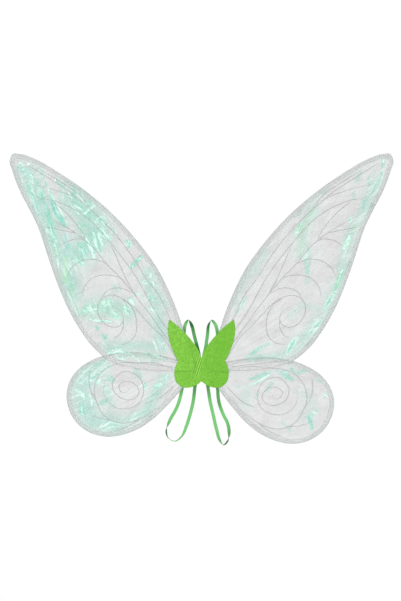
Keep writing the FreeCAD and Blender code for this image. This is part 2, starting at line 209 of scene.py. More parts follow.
LEFT_LOWER_SHINE = [
    (34, 0.40, -0.4, 0, (-270, -10), (-284, -60), (-262, -120), (-200, -135)),
    (20, 0.36, -0.3, 0, (-180, -128), (-130, -104), (-105, -55), (-90, -25)),
    (16, 0.30, -0.3, 0, (-226, -20), (-224, -60), (-214, -88)),
    (10, 0.6, -0.2, -0.8, (-286, -30), (-256, -2), (-228, 18)),
    (7, 0.6, -0.2, -0.8, (-265, -33), (-242, -12), (-216, 5)),
    (6, 0.8, -0.1, 1.0, (-246, -36), (-240, -28)),
    (4, 0.7, 0.0, 1.0, (-266, -28), (-256, -30)),
    (5, 0.9, 0.0, 1.0, (-292, -52), (-282, -58), (-275, -73)),
    (3.5, 0.85, -0.1, 1.0, (-264, -62), (-259, -74), (-258, -88)),
    (6, 0.7, -0.3, 0.2, (-240, -86), (-223, -75)),
    (6, 0.85, -0.1, 0.6, (-283, -90), (-276, -113)),
    (9, 0.55, -0.4, 0.1, (-268, -122), (-253, -134)),
    (6, 0.65, -0.1, -1.0, (-231, -142), (-216, -133), (-197, -134)),
    (6, 0.5, -0.1, -0.7, (-180, -130), (-157, -115), (-122, -97)),
    (8, 0.65, -0.2, 0.4, (-214, -22), (-209, -30)),
    (8, 0.40, -0.5, 0, (-222, -45), (-219, -60), (-214, -76)),
    (5, 0.75, -0.1, 0.6, (-136, -34), (-131, -48)),
    (5, 0.85, 0.0, 1.0, (-113, -46), (-95, -37)),
    (6, 0.6, -0.1, 0.4, (-84, -26), (-78, -16)),
    (4, 0.7, -0.1, 0.3, (-120, -84), (-118, -76)),
    (10, 0.35, -0.5, 0, (-154, -6), (-146, -18)),
    (8, 0.45, -0.4, 0.1, (-300, -72), (-292, -92), (-284, -108)),
]
RIGHT_UPPER_SHINE = [
    (20, 0.28, 0.0, 0, (408, 440), (385, 375), (352, 320), (330, 230)),
    (22, 0.25, 0.1, 0, (322, 200), (290, 130), (240, 70), (200, 35)),
    (20, 0.32, 0.5, 0, (262, 370), (238, 325), (236, 270)),
    (14, 0.20, -0.4, 0, (80, 150), (100, 205), (150, 270)),
    (14, 0.20, -0.3, 0, (210, 125), (240, 150), (280, 135)),
    (12, 0.34, 0.0, 0, (110, 22), (190, 30)),
    (4, 0.7, 0.0, 0.5, (428, 492), (426, 472)),
    (7, 0.55, 0.0, -0.8, (424, 461), (417, 437), (404, 417), (393, 403)),
    (5, 0.65, -0.3, 0.1, (390, 401), (381, 387), (380, 374)),
    (11, 0.35, 0.0, 0.15, (399, 397), (390, 376), (377, 354)),
    (3.5, 0.5, -0.3, 0.1, (393, 450), (391, 423)),
    (5, 0.8, 0.2, 1.0, (352, 353), (349, 344)),
    (8, 0.40, 0.5, 0, (361, 338), (354, 318)),
    (6, 0.95, 0.5, 1.0, (348, 310), (342, 296), (335, 281)),
    (5, 0.45, 0.4, 0, (262, 366), (252, 352), (241, 343)),
    (5, 0.85, 0.4, 1.0, (235, 339), (228, 327), (221, 312)),
    (8, 0.62, 0.2, 0.08, (250, 280), (248, 250), (249, 226)),
    (9, 0.22, 0.0, 0, (248, 225), (249, 200)),
    (9, 0.28, 0.0, 0, (371, 459), (366, 441)),
    (5, 0.30, -0.2, 0, (358, 412), (358, 398)),
    (6, 0.25, 0.2, 0.1, (219, 354), (254, 387), (299, 423)),
    (6, 0.8, 0.3, 0.25, (333, 237), (325, 212), (309, 170)),
    (3, 0.8, 0.1, 1.0, (331, 231), (326, 222)),
    (5, 0.8, 0.0, -1.0, (308, 172), (300, 158), (290, 142)),
    (6, 0.65, -0.1, -1.0, (279, 110), (267, 96), (254, 80)),
    (6, 0.75, -0.1, -1.0, (222, 69), (212, 54), (202, 36)),
    (4, 0.45, 0.0, -0.9, (249, 72), (236, 56), (222, 42)),
    (3, 0.45, 0.0, -0.9, (262, 82), (250, 66)),
    (8, 0.35, 0.6, 0, (247, 90), (240, 80)),
    (5, 0.65, -0.2, 0.15, (111, 29), (134, 44), (158, 58)),
    (4, 0.5, 0.0, -1.0, (105, 165), (94, 148), (83, 129)),
    (9, 0.30, -0.5, 0.4, (118, 236), (134, 226)),
    (5, 0.28, -0.5, 0.4, (141, 254), (152, 272)),
    (5, 0.5, 0.0, 0.9, (118, 20), (121, 12)),
]
RIGHT_LOWER_SHINE = [
    (20, 0.16, -0.4, 0, (240, -60), (262, -90), (240, -120)),
    (14, 0.20, -0.5, 0, (104, -50), (102, -86)),
    (3, 0.9, 0.0, 1.0, (117, -40), (138, -29), (159, -16)),
    (5, 0.65, -0.6, 0.05, (115, -26), (138, -18), (165, -8)),
    (8, 0.65, -0.5, 0.1, (182, -7), (200, -18), (213, -26)),
    (5, 0.6, -0.4, 0.1, (209, 1), (216, -8)),
    (7, 0.40, -0.4, 0, (224, -12), (244, -6)),
    (6, 0.75, -0.3, 0.15, (269, -100), (254, -115), (259, -140)),
    (4, 0.5, -0.3, 0, (292, -58), (291, -68)),
    (4, 0.6, -0.3, 0.2, (87, -42), (88, -48)),
    (6, 0.38, -0.4, 0, (165, -36), (154, -53)),
    (4, 0.40, -0.3, 0.1, (188, -128), (203, -137), (212, -148)),
    (5, 0.25, -0.4, 0, (263, -27), (281, -32)),
    (6, 0.25, -0.4, 0, (131, -58), (128, -68)),
]
SHINES = {("upper", "left"): LEFT_UPPER_SHINE, ("lower", "left"): LEFT_LOWER_SHINE,
          ("upper", "right"): RIGHT_UPPER_SHINE, ("lower", "right"): RIGHT_LOWER_SHINE}

# ---------------------------------------------------------------- arm loops
# (x, z) in mm, the height towards the wearer in mm, the twist in degrees (0 shows the
# satin face), and painted light and shade: how much lighter or darker the strip is painted there.
LEFT_RIBBON = [
    (-5.0, -9, -2.1, 180, 0), (-4.4, 5, -2.1, 180, 0), (-5.2, 27, -2.1, 180, 0), (-9.5, 47, -2.1, 180, 0),
    (-17, 76, -1.6, 176, 0.5), (-23, 100, -1.4, 160, 0), (-31, 113, -1.2, 80, 0), (-38, 103, -1.5, 20, 0),
    (-41, 82, -2.0, 0, -0.4), (-43, 20, -2.1, 0, 0), (-46, -49, -2.1, 0, -0.1), (-57, -90, -1.8, 6, 0.1),
    (-75, -124, -1.4, 28, 0), (-83, -148, -1.0, 112, -0.4), (-78, -165, -1.0, 98, -0.2),
    (-62, -172, -1.0, 84, 0), (-46, -160, -1.2, 62, 0), (-36, -138, -1.6, 20, 0.1), (-26, -106, -1.9, 4, 0),
    (-19, -75, -2.0, 0, -0.2), (-15.5, -44, -2.1, 0, -0.8), (-10.5, -18, -2.1, 0, 0),
    (-6.2, -6, -1.5, 0, 0), (-4.4, 5, -1.3, 0, 0), (-4.6, 13, -1.3, 0, 0)
]
RIGHT_RIBBON = [
    (5.0, -9, -2.1, -180, 0), (4.4, 5, -2.1, -180, 0), (5.2, 27, -2.1, -180, 0.4),
    (9.5, 47, -2.1, -180, 0.7), (14, 78, -1.6, -165, 0.6), (17, 102, -1.4, -128, 0),
    (24, 112, -1.2, -70, 0), (32, 103, -1.5, -15, 0), (37, 86, -2.0, 0, -0.1), (38.5, 20, -2.1, 0, 0),
    (38, -48, -2.1, 0, -0.4), (41, -80, -1.8, -8, -0.5), (51, -109, -1.6, -4, 0), (61, -129, -1.4, 0, -0.1),
    (65, -150, -1.0, -22, -0.4), (62, -171, -1.0, -112, -0.6), (52, -181, -1.0, -104, -0.2),
    (43, -170, -1.0, -48, -0.1), (35, -143, -1.6, -8, 0), (27, -108, -1.9, 0, 0), (20, -77, -2.0, 0, -0.1),
    (15, -44, -2.1, 0, -0.6), (10.5, -18, -2.1, 0, 0), (6.2, -6, -1.5, 0, 0), (4.4, 5, -1.3, 0, 0),
    (4.6, 13, -1.3, 0, 0)
]


# ================================================================ geometry helpers
def outline(node):
    """The edge of a flat CAD piece seen from the front: one closed run of (x, z), as an array."""
    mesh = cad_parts[node].data
    place = {}
    index = [place.setdefault(tuple(round(c * 1e5) for c in v.co), len(place)) for v in mesh.vertices]
    spot = np.zeros((len(place), 2))
    for v in mesh.vertices:
        spot[index[v.index]] = (v.co.x, v.co.z)
    after = {}
    for face in mesh.polygons:
        if face.normal.y < -0.99:
            ring = [index[i] for i in face.vertices]
            for a, b in zip(ring, ring[1:] + ring[:1]):
                if after.get(b, set()) and a in after[b]:
                    after[b].discard(a)
                else:
                    after.setdefault(a, set()).add(b)
    after = {a: next(iter(b)) for a, b in after.items() if b}
    first = next(iter(after))
    run = [first]
    while after[run[-1]] != first:
        run.append(after[run[-1]])
    return spot[run]


def resampled(run, step, closed=True, corner=35.0):
    """The run with points about step apart. Corners sharper than corner degrees are kept."""
    pts = np.vstack([run, run[:1]]) if closed else np.asarray(run, float)
    legs = np.diff(pts, axis=0)
    legs = legs / np.maximum(np.linalg.norm(legs, axis=1, keepdims=True), 1e-12)
    kept = [0]
    for i in range(1, len(legs)):
        if legs[i - 1] @ legs[i] < math.cos(math.radians(corner)):
            kept.append(i)
    kept.append(len(pts) - 1)
    out = []
    for a, b in zip(kept, kept[1:]):
        piece = pts[a:b + 1]
        far = np.concatenate([[0], np.cumsum(np.linalg.norm(np.diff(piece, axis=0), axis=1))])
        count = max(1, round(far[-1] / step))
        at = np.linspace(0, far[-1], count + 1)[:-1]
        out.append(np.column_stack([np.interp(at, far, piece[:, k]) for k in range(pts.shape[1])]))
    if not closed:
        out.append(pts[-1:])
    return np.vstack(out)


def to_run(points, run):
    """Each point's distance to a closed run, and how far along the run its nearest place is."""
    a = run
    d = np.roll(run, -1, axis=0) - run
    length = np.maximum(np.linalg.norm(d, axis=1), 1e-9)
    start = np.concatenate([[0], np.cumsum(length)[:-1]])
    best = np.full(len(points), 1e9)
    along = np.zeros(len(points))
    for k in range(0, len(points), 2000):
        p = points[k:k + 2000, None, :] - a[None]
        t = np.clip((p * d[None]).sum(2) / length ** 2, 0, 1)
        gap = np.linalg.norm(p - t[..., None] * d[None], axis=2)
        j = gap.argmin(1)
        rows = np.arange(len(j))
        best[k:k + 2000] = gap[rows, j]
        along[k:k + 2000] = start[j] + t[rows, j] * length[j]
    return best, along


def to_path(points, path):
    """Distance of each point to an open path, negative on its right, and how far along the path it is."""
    a, b = path[:-1], path[1:]
    d = b - a
    length = np.linalg.norm(d, axis=1)
    start = np.concatenate([[0], np.cumsum(length)[:-1]])
    p = points[:, None, :] - a[None]
    t = np.clip((p * d[None]).sum(2) / length ** 2, 0, 1)
    gap = np.linalg.norm(p - t[..., None] * d[None], axis=2)
    j = gap.argmin(1)
    rows = np.arange(len(j))
    right = d[j, 0] * p[rows, j, 1] < d[j, 1] * p[rows, j, 0]
    return np.where(right, -gap[rows, j], gap[rows, j]), start[j] + t[rows, j] * length[j]


def signed_area(run):
    """The area inside a closed run, above 0 where it runs anticlockwise seen from the front."""
    x, z = run[:, 0], run[:, 1]
    return np.sum(x * np.roll(z, -1) - z * np.roll(x, -1)) / 2


def inside(points, run):
    """Which points lie inside the closed run."""
    x, z = points[:, 0], points[:, 1]
    hit = np.zeros(len(points), bool)
    for (x0, z0), (x1, z1) in zip(run, np.roll(run, -1, axis=0)):
        if z0 != z1:
            crosses = (z0 > z) != (z1 > z)
            hit ^= crosses & (x < (x1 - x0) * (z - z0) / (z1 - z0) + x0)
    return hit


def filled(run, step):
    """An even triangle mesh inside a closed run: its points, the run's own first, and its faces."""
    low, high = run.min(0), run.max(0)
    rows = []
    rise = step * math.sqrt(3) / 2
    for k in range(int((high[1] - low[1]) / rise) + 1):
        x = np.arange(low[0] + (k % 2) * step / 2, high[0], step)
        rows.append(np.column_stack([x, np.full(len(x), low[1] + k * rise)]))
    grid = np.vstack(rows)
    grid = grid[inside(grid, run)]
    gap, _ = to_run(grid, run)
    points = np.vstack([run, grid[gap > 0.6 * step]])
    count = len(run)
    edges = [(i, (i + 1) % count) for i in range(count)]
    made = delaunay_2d_cdt([Vector(p) for p in points], edges, [], 1, 1e-9)
    return np.array([tuple(v) for v in made[0]]), [tuple(f) for f in made[2]]


def smooth_path(points, step):
    """A smooth path through listed rows of numbers. The first two columns are x and z."""
    pts = np.asarray(points, float)
    pts = np.vstack([2 * pts[0] - pts[1], pts, 2 * pts[-1] - pts[-2]])
    out = []
    for p0, p1, p2, p3 in zip(pts, pts[1:], pts[2:], pts[3:]):
        gaps = [max(np.linalg.norm(b[:2] - a[:2]), 1e-9) ** 0.5 for a, b in ((p0, p1), (p1, p2), (p2, p3))]
        t0, t1 = 0.0, gaps[0]
        t2, t3 = t1 + gaps[1], t1 + gaps[1] + gaps[2]
        count = max(2, math.ceil(np.linalg.norm(p2[:2] - p1[:2]) / step))
        for t in np.linspace(t1, t2, count, endpoint=False):
            a1 = (t1 - t) / (t1 - t0) * p0 + (t - t0) / (t1 - t0) * p1
            a2 = (t2 - t) / (t2 - t1) * p1 + (t - t1) / (t2 - t1) * p2
            a3 = (t3 - t) / (t3 - t2) * p2 + (t - t2) / (t3 - t2) * p3
            b1 = (t2 - t) / (t2 - t0) * a1 + (t - t0) / (t2 - t0) * a2
            b2 = (t3 - t) / (t3 - t1) * a2 + (t - t1) / (t3 - t1) * a3
            out.append((t2 - t) / (t2 - t1) * b1 + (t - t1) / (t2 - t1) * b2)
    out.append(pts[-2])
    return np.array(out)


def mirrored(points):
    """The same (x, z) points on the other side of the middle."""
    return [(-x, z) for x, z in points]


def turned(points, degrees):
    """The (x, z) points turned anticlockwise about the origin."""
    a = math.radians(degrees)
    return [(x * math.cos(a) - z * math.sin(a), x * math.sin(a) + z * math.cos(a)) for x, z in points]


def step_up(t):
    """Smooth rise from 0 to 1."""
    t = np.clip(t, 0, 1)
    return t * t * (3 - 2 * t)


def field(x, z, scale, seed, stretch=1.0, angle=0.0):
    """Noise from about -1 to 1 at each place, with features about scale metres across."""
    c, s = math.cos(angle), math.sin(angle)
    u, v = (x * c + z * s) / (scale * stretch), (-x * s + z * c) / scale
    return np.array([noise.noise(Vector((a, b, seed))) for a, b in zip(u, v)])


def piece(name, points, faces, material, smooth=True):
    """A new mesh object with one material."""
    mesh = bpy.data.meshes.new(name)
    mesh.from_pydata([tuple(p) for p in points], [], faces)
    mesh.validate()
    mesh.polygons.foreach_set("use_smooth", [smooth] * len(mesh.polygons))
    mesh.materials.append(material)
    obj = bpy.data.objects.new(name, mesh)
    bpy.context.scene.collection.objects.link(obj)
    return obj


def tube(first, rings, ring):
    """Faces of a tube with flat ends, from point number first on: rings of ring points each."""
    faces = []
    for base in range(first, first + (rings - 1) * ring, ring):
        for k in range(ring):
            m = (k + 1) % ring
            faces.append((base + k, base + m, base + ring + m, base + ring + k))
    faces.append(tuple(first + k for k in reversed(range(ring))))
    faces.append(tuple(first + (rings - 1) * ring + k for k in range(ring)))
    return faces


def face_outwards(obj):
    """Turns all of a closed mesh's faces outwards."""
    bm = bmesh.new()
    bm.from_mesh(obj.data)
    bmesh.ops.recalc_face_normals(bm, faces=bm.faces)
    bm.to_mesh(obj.data)
    bm.free()


def give(obj, name, values):
    """Stores one number for each point, for the material to read."""
    attribute = obj.data.attributes.new(name, "FLOAT", "POINT")
    attribute.data.foreach_set("value", np.asarray(values, np.float32))


# ================================================================ materials
class Look:
    """A material under construction: each method adds nodes and returns a socket to build on."""

    def __init__(self, name):
        self.material = bpy.data.materials.new(name)
        self.material.use_nodes = True
        self.nodes, self.links = self.material.node_tree.nodes, self.material.node_tree.links
        self.shader = self.nodes["Principled BSDF"]

    def join(self, value, socket):
        """Puts a number, a colour or another node's output into a socket."""
        if isinstance(value, (int, float)):
            socket.default_value = value
        elif isinstance(value, tuple):
            socket.default_value = (*value, 1)
        else:
            self.links.new(value, socket)

    def set(self, **values):
        """Sets the shader's inputs by name, with _ for a space."""
        for name, value in values.items():
            self.join(value, self.shader.inputs[name.replace("_", " ")])

    def attribute(self, name):
        """A number that give() has stored for each point."""
        made = self.nodes.new("ShaderNodeAttribute")
        made.attribute_name = name
        return made.outputs["Fac"]

    def math(self, operation, a, b=0.0, clamp=False):
        made = self.nodes.new("ShaderNodeMath")
        made.operation = operation
        made.use_clamp = clamp
        self.join(a, made.inputs[0])
        self.join(b, made.inputs[1])
        return made.outputs[0]

    def mix(self, share, a, b):
        made = self.nodes.new("ShaderNodeMix")
        made.data_type = "RGBA"
        for socket, value in ((0, share), (6, a), (7, b)):
            self.join(value, made.inputs[socket])
        return made.outputs[2]

    def place(self):
        """The place in the object's own coordinates."""
        return self.nodes.new("ShaderNodeTexCoord").outputs["Object"]

    def noise(self, scale, detail=3.0, stretch=(1, 1, 1), rough=0.55):
        turn = self.nodes.new("ShaderNodeMapping")
        turn.inputs["Scale"].default_value = stretch
        self.links.new(self.place(), turn.inputs["Vector"])
        made = self.nodes.new("ShaderNodeTexNoise")
        for name, value in (("Scale", scale), ("Detail", detail), ("Roughness", rough)):
            made.inputs[name].default_value = value
        self.links.new(turn.outputs[0], made.inputs["Vector"])
        return made.outputs["Fac"]

    def ramp(self, value, low, high, low_out=0.0, high_out=1.0):
        """Maps low to high onto low_out to high_out, and stays there beyond them."""
        made = self.nodes.new("ShaderNodeMapRange")
        for socket, number in enumerate((value, low, high, low_out, high_out)):
            self.join(number, made.inputs[socket])
        return made.outputs[0]

    def bump(self, height, strength, distance):
        """Fine relief on the surface, from a height."""
        made = self.nodes.new("ShaderNodeBump")
        made.inputs["Strength"].default_value = strength
        made.inputs["Distance"].default_value = distance
        self.links.new(height, made.inputs["Height"])
        self.links.new(made.outputs[0], self.shader.inputs["Normal"])


def film_material(name, clear_alpha, shine_alpha):
    """Clear film, grey where it is plain, mint and less clear where it is crinkled and iridescent, with
    painted light and shade on its facets and painted highlights.
    """
    look = Look(name)
    iris, painted_glint, warm, tilt = (look.attribute(key) for key in ("iris", "painted_glint", "warm", "tilt"))
    grain = look.noise(260.0, 4.0)
    cloud = look.noise(24.0, 2.0)
    tint = look.mix(look.ramp(cloud, 0.35, 0.65), (0.44, 0.49, 0.48), (0.53, 0.495, 0.50))
    fine = look.ramp(grain, 0.3, 0.7, 0.42, 0.58)
    # painted light and shade: facets facing up and left, towards the key light, get a lighter film colour and
    # those facing away a darker one, mixed with random grain
    facet_light_and_grain = look.math("ADD", look.math("MULTIPLY", tilt, 0.5), fine)
    plain = look.mix(look.ramp(facet_light_and_grain, 0.45, 1.0, 0.0, 0.6), tint, (0.80, 0.82, 0.81))
    plain = look.mix(look.ramp(facet_light_and_grain, 0.55, 0.0, 0.0, 0.75), plain, (0.24, 0.28, 0.27))
    mint = look.mix(look.ramp(grain, 0.35, 0.65), (0.03, 0.50, 0.33), (0.13, 0.68, 0.50))
    mint = look.mix(look.ramp(warm, 0.0, 0.8), mint, (0.36, 0.78, 0.22))
    mint = look.mix(look.ramp(warm, 0.0, -0.8), mint, (0.06, 0.56, 0.50))
    colour = look.mix(look.ramp(iris, 0.0, 0.6), plain, mint)
    # painted highlights: near-white glints where the painted glint value and the grain are high
    bright = look.ramp(look.math("ADD", painted_glint, grain), 0.60, 1.25)
    colour = look.mix(bright, colour, (0.62, 1.0, 0.86))
    # painted highlights: near-white lines along the creases, stronger in the mint
    painted_crease_highlight = look.attribute("painted_crease_highlight")
    line = look.math("MULTIPLY", painted_crease_highlight, look.ramp(iris, 0.0, 0.5, 0.15, 0.85))
    colour = look.mix(line, colour, (0.80, 1.0, 0.93))
    cover = look.ramp(iris, 0.0, 1.0, clear_alpha, shine_alpha)
    cloudy = look.ramp(cloud, 0.3, 0.7, -0.05, 0.05)
    cover = look.math("ADD", cover, cloudy, True)
    cover = look.math("MULTIPLY", cover, look.ramp(look.attribute("open"), 0, 1, 0.5, 1.0))
    look.set(Base_Color=colour, Alpha=cover, Roughness=0.16, IOR=1.55, Specular_IOR_Level=0.9)
    look.bump(grain, 0.25, 0.0006)
    return look.material


def hem_material():
    """Folded and sealed film: milky, with fine lines along the edge."""
    look = Look("hem_film")
    across = look.attribute("across")
    line = look.math("SINE", look.math("MULTIPLY", across, 38.0))
    cloud = look.noise(60.0, 3.0)
    shade = look.mix(look.ramp(line, -1.0, 1.0), (0.56, 0.60, 0.585), (0.80, 0.82, 0.81))
    shade = look.mix(look.ramp(cloud, 0.45, 0.75, 0.0, 0.25), shade, (0.62, 0.80, 0.73))
    shade = look.mix(look.ramp(across, 0.12, 0.02, 0.0, 0.8), shade, (0.36, 0.38, 0.375))
    edge = look.ramp(across, 0.10, 0.0, 0.0, 0.35)
    cover = look.math("ADD", look.ramp(cloud, 0.3, 0.7, 0.34, 0.44), edge)
    cover = look.math("MULTIPLY", cover, look.ramp(look.attribute("open"), 0, 1, 0.6, 1.0))
    look.set(Base_Color=shade, Alpha=cover, Roughness=0.28, IOR=1.5)
    look.bump(line, 0.3, 0.0003)
    return look.material


def vein_material():
    """Silver glitter print."""
    look = Look("glitter_print")
    speck = look.nodes.new("ShaderNodeTexVoronoi")
    speck.inputs["Scale"].default_value = 1400.0
    look.links.new(look.place(), speck.inputs["Vector"])
    glitter = look.ramp(speck.outputs["Color"], 0.2, 0.9)
    look.set(Base_Color=look.mix(glitter, (0.33, 0.33, 0.33), (0.60, 0.60, 0.60)))
    look.set(Roughness=look.ramp(speck.outputs["Distance"], 0.0, 0.6, 0.22, 0.5))
    look.set(Metallic=0.2)
    look.bump(speck.outputs["Distance"], 0.4, 0.0002)
    return look.material


def felt_material():
    """Pressed felt: short fibres lying every way, slightly uneven in colour."""
    look = Look("lime_felt")
    broad = look.noise(60.0, 3.0)
    mottle = look.noise(230.0, 6.0, rough=0.75)
    painted_shade, painted_fold_light = look.attribute("painted_shade"), look.attribute("painted_fold_light")
    fibre = look.noise(900.0, 2.0, stretch=(1, 1, 5))
    other = look.noise(900.0, 2.0, stretch=(5, 1, 1))
    fibres = look.math("MAXIMUM", fibre, other)
    green = look.mix(look.ramp(mottle, 0.38, 0.62), (0.12, 0.38, 0.022), (0.26, 0.62, 0.080))
    green = look.mix(look.ramp(broad, 0.40, 0.62, 0.0, 0.45), green, (0.17, 0.45, 0.03))
    # painted shade: darker green where the painted shade value is high
    green = look.mix(look.math("MULTIPLY", painted_shade, 0.42), green, (0.11, 0.40, 0.015))
    green = look.mix(look.ramp(fibres, 0.58, 0.8, 0.0, 0.4), green, (0.42, 0.80, 0.18))
    # painted light and shade along the folds: lighter where the fold value is above 0, darker below it
    green = look.mix(look.ramp(painted_fold_light, 0.1, 0.9), green, (0.42, 0.78, 0.16))
    green = look.mix(look.ramp(painted_fold_light, -0.2, -0.9), green, (0.07, 0.29, 0.01))
    look.set(Base_Color=green, Roughness=0.95, Specular_IOR_Level=0.2, Sheen_Weight=0.35)
    look.set(Sheen_Roughness=0.5, Sheen_Tint=(0.75, 1.0, 0.5))
    height = look.math("ADD", fibres, mottle)
    look.bump(height, 0.5, 0.0006)
    return look.material


def ribbon_material():
    """Braided elastic: fine ribs along its length, a satin face and a darker back whose darkness is partly
    painted shade, with painted sheen patches.
    """
    look = Look("green_elastic")
    across, along, face = (look.attribute(key) for key in ("across", "along", "face"))
    rib = look.math("SINE", look.math("MULTIPLY", across, 50.0))
    pick = look.math("SINE", look.math("MULTIPLY", along, 5200.0))
    weave = look.math("ADD", rib, look.math("MULTIPLY", pick, 0.5))
    satin = look.mix(look.ramp(weave, -1.5, 1.5), (0.11, 0.42, 0.11), (0.25, 0.66, 0.24))
    # the back's dark colour is partly the strip's own back and partly painted shade
    back = look.mix(look.ramp(weave, -1.5, 1.5), (0.003, 0.085, 0.012), (0.018, 0.19, 0.035))
    # painted sheen: random lighter patches on the back
    sheen = look.ramp(look.noise(34.0, 1.0), 0.52, 0.66, 0.0, 0.6)
    back = look.mix(sheen, back, (0.05, 0.34, 0.08))
    look.set(Base_Color=look.mix(face, back, satin), Roughness=0.42, Anisotropic=0.5)
    look.set(Specular_IOR_Level=0.2)
    look.bump(weave, 0.35, 0.0003)
    return look.material


def wire_material():
    """White-coated wire, faintly marked from drawing."""
    look = Look("white_coated_wire")
    drawn = look.noise(300.0, 3.0)
    look.set(Base_Color=look.mix(drawn, (0.76, 0.77, 0.76), (0.86, 0.86, 0.85)))
    look.set(Roughness=look.ramp(drawn, 0.3, 0.7, 0.35, 0.5))
    look.bump(drawn, 0.1, 0.0002)
    return look.material


def card_material():
    """Rough white card."""
    look = Look("white_card")
    pulp = look.noise(500.0, 4.0)
    look.set(Base_Color=look.mix(pulp, (0.66, 0.64, 0.58), (0.80, 0.79, 0.75)))
    look.set(Roughness=0.85)
    look.bump(pulp, 0.2, 0.0002)
    return look.material


def thread_material():
    """Twisted green sewing thread."""
    look = Look("green_thread")
    twist = look.noise(2500.0, 2.0)
    look.set(Base_Color=look.mix(twist, (0.10, 0.34, 0.04), (0.25, 0.58, 0.10)))
    look.set(Roughness=0.6)
    look.bump(twist, 0.4, 0.0002)
    return look.material


FRONT_FILM = film_material("film_front_ply", 0.36, 0.76)
BACK_FILM = film_material("film_back_ply", 0.26, 0.42)
HEM_FILM = hem_material()
GLITTER = vein_material()
FELT = felt_material()
ELASTIC = ribbon_material()
WIRE = wire_material()
CARD = card_material()
THREAD = thread_material()


# ================================================================ wings
def crumple(wing, run):
    """A faceted surface over one wing: flat triangles between random points, closer in its crinkles.

    Returns a function that gives, at each point, the height in metres and a dictionary of looks: the
    strength of its mint, its painted white glints and the warmth of its colour.
    """
    random = np.random.RandomState(sum(map(ord, "".join(wing))))
    low, high = run.min(0) - 30 * MM, run.max(0) + 30 * MM
    gap = 19 * MM
    grid = np.array([(x, z) for x in np.arange(low[0], high[0], gap)
                     for z in np.arange(low[1], high[1], gap)])
    seeds = [grid + random.uniform(-0.42, 0.42, grid.shape) * gap]
    routes = [(half * MM, power, warm, white, np.array(path, float) * MM)
              for half, power, warm, white, *path in SHINES[wing]]
    for half, power, warm, white, path in routes:
        if white == 0:
            continue
        seeds[0] = seeds[0][np.abs(to_path(seeds[0], path)[0]) > 1.5 * half]
        reach = np.linalg.norm(np.diff(path, axis=0), axis=1).sum()
        stride = min(max(reach / 4, 1.1 * half, 5 * MM), 16 * MM)
        line = resampled(smooth_path(path, 2 * MM), stride, closed=False, corner=180)
        ahead = np.gradient(line, axis=0)
        ahead /= np.linalg.norm(ahead, axis=1, keepdims=True)
        across = np.column_stack([-ahead[:, 1], ahead[:, 0]])
        for k, share in enumerate((-1.05, -0.35, 0.35, 1.05)):
            shift = random.uniform(-0.4, 0.4, (len(line), 1)) + 0.5 * (k % 2)
            jitter = random.uniform(-0.2, 0.2, (len(line), 1))
            seeds.append(line + across * (share + jitter) * half + ahead * shift * stride)
    spots = np.vstack(seeds)
    keep = np.unique(np.round(spots / (2 * MM)).astype(int), axis=0, return_index=True)[1]
    spots = spots[np.sort(keep)]
    heights = random.uniform(-1, 1, len(spots)) * 0.75 * MM
    made = delaunay_2d_cdt([Vector(p) for p in spots], [], [], 0, 1e-9)
    flat = np.array([tuple(v) for v in made[0]])
    source = [i[0] for i in made[3]]
    tree = BVHTree.FromPolygons([(x, heights[i], z) for (x, z), i in zip(flat, source)], made[2])
    lot = random.uniform(-1, 1, len(made[2]))

    def at(points):
        """The relief and colour of the crumpled film at each point."""
        hits = [tree.ray_cast((x, -1, z), (0, 1, 0)) for x, z in points]
        height = np.array([hit[0].y for hit in hits])
        facet = lot[[hit[2] for hit in hits]]
        strength, painted_glint, warmth = np.zeros((3, len(points)))
        wobble = 1 + 0.30 * field(points[:, 0], points[:, 1], 11 * MM, 3.7)
        for k, (half, power, warm, white, path) in enumerate(routes):
            near = (np.abs(points - path.mean(0)) < np.ptp(path, axis=0) / 2 + 2.6 * half).all(1)
            if not near.any():
                continue
            across, along = to_path(points[near], path)
            taper = np.sin(math.pi * np.clip(along / along.max(), 0.12, 0.88))
            off = np.abs(across) / half / (0.45 + 0.55 * taper) + 0.5 * (wobble[near] - 1)
            if white == 0:
                off = np.abs(across) / half
                here, glint = power * np.exp(-off ** 2 * 1.4) * wobble[near], 0 * off
            else:
                grain = field(along, across, 2.6 * MM, k + 0.3, 7.0)
                lines = field(along, across, 1.9 * MM, k + 40.3, 8.0)
                body = step_up((1.15 - off) / 0.45) * (0.70 + 0.34 * grain + 0.22 * facet[near])
                here = power * np.maximum(body, 0.45 * np.exp(-off ** 2 * 0.6))
                # painted highlights: white streaks, or a white rim round a leaf-shaped fold
                if white > 0:
                    shine = step_up((lines * 0.9 + 0.75 * white - 0.45) / 0.22) * step_up((1.05 - off) / 0.4)
                else:
                    shine = -1.15 * white * np.exp(-((off - 0.85) / 0.30) ** 2)
                glint = shine * power * 0.9
                here = np.maximum(here, glint * 0.7)
            better = here > strength[near]
            warmth[near] = np.where(better, here * warm, warmth[near])
            strength[near] = np.maximum(strength[near], here)
            painted_glint[near] = np.maximum(painted_glint[near], glint)
        return height, {"iris": strength, "painted_glint": painted_glint, "warm": warmth}

    return at


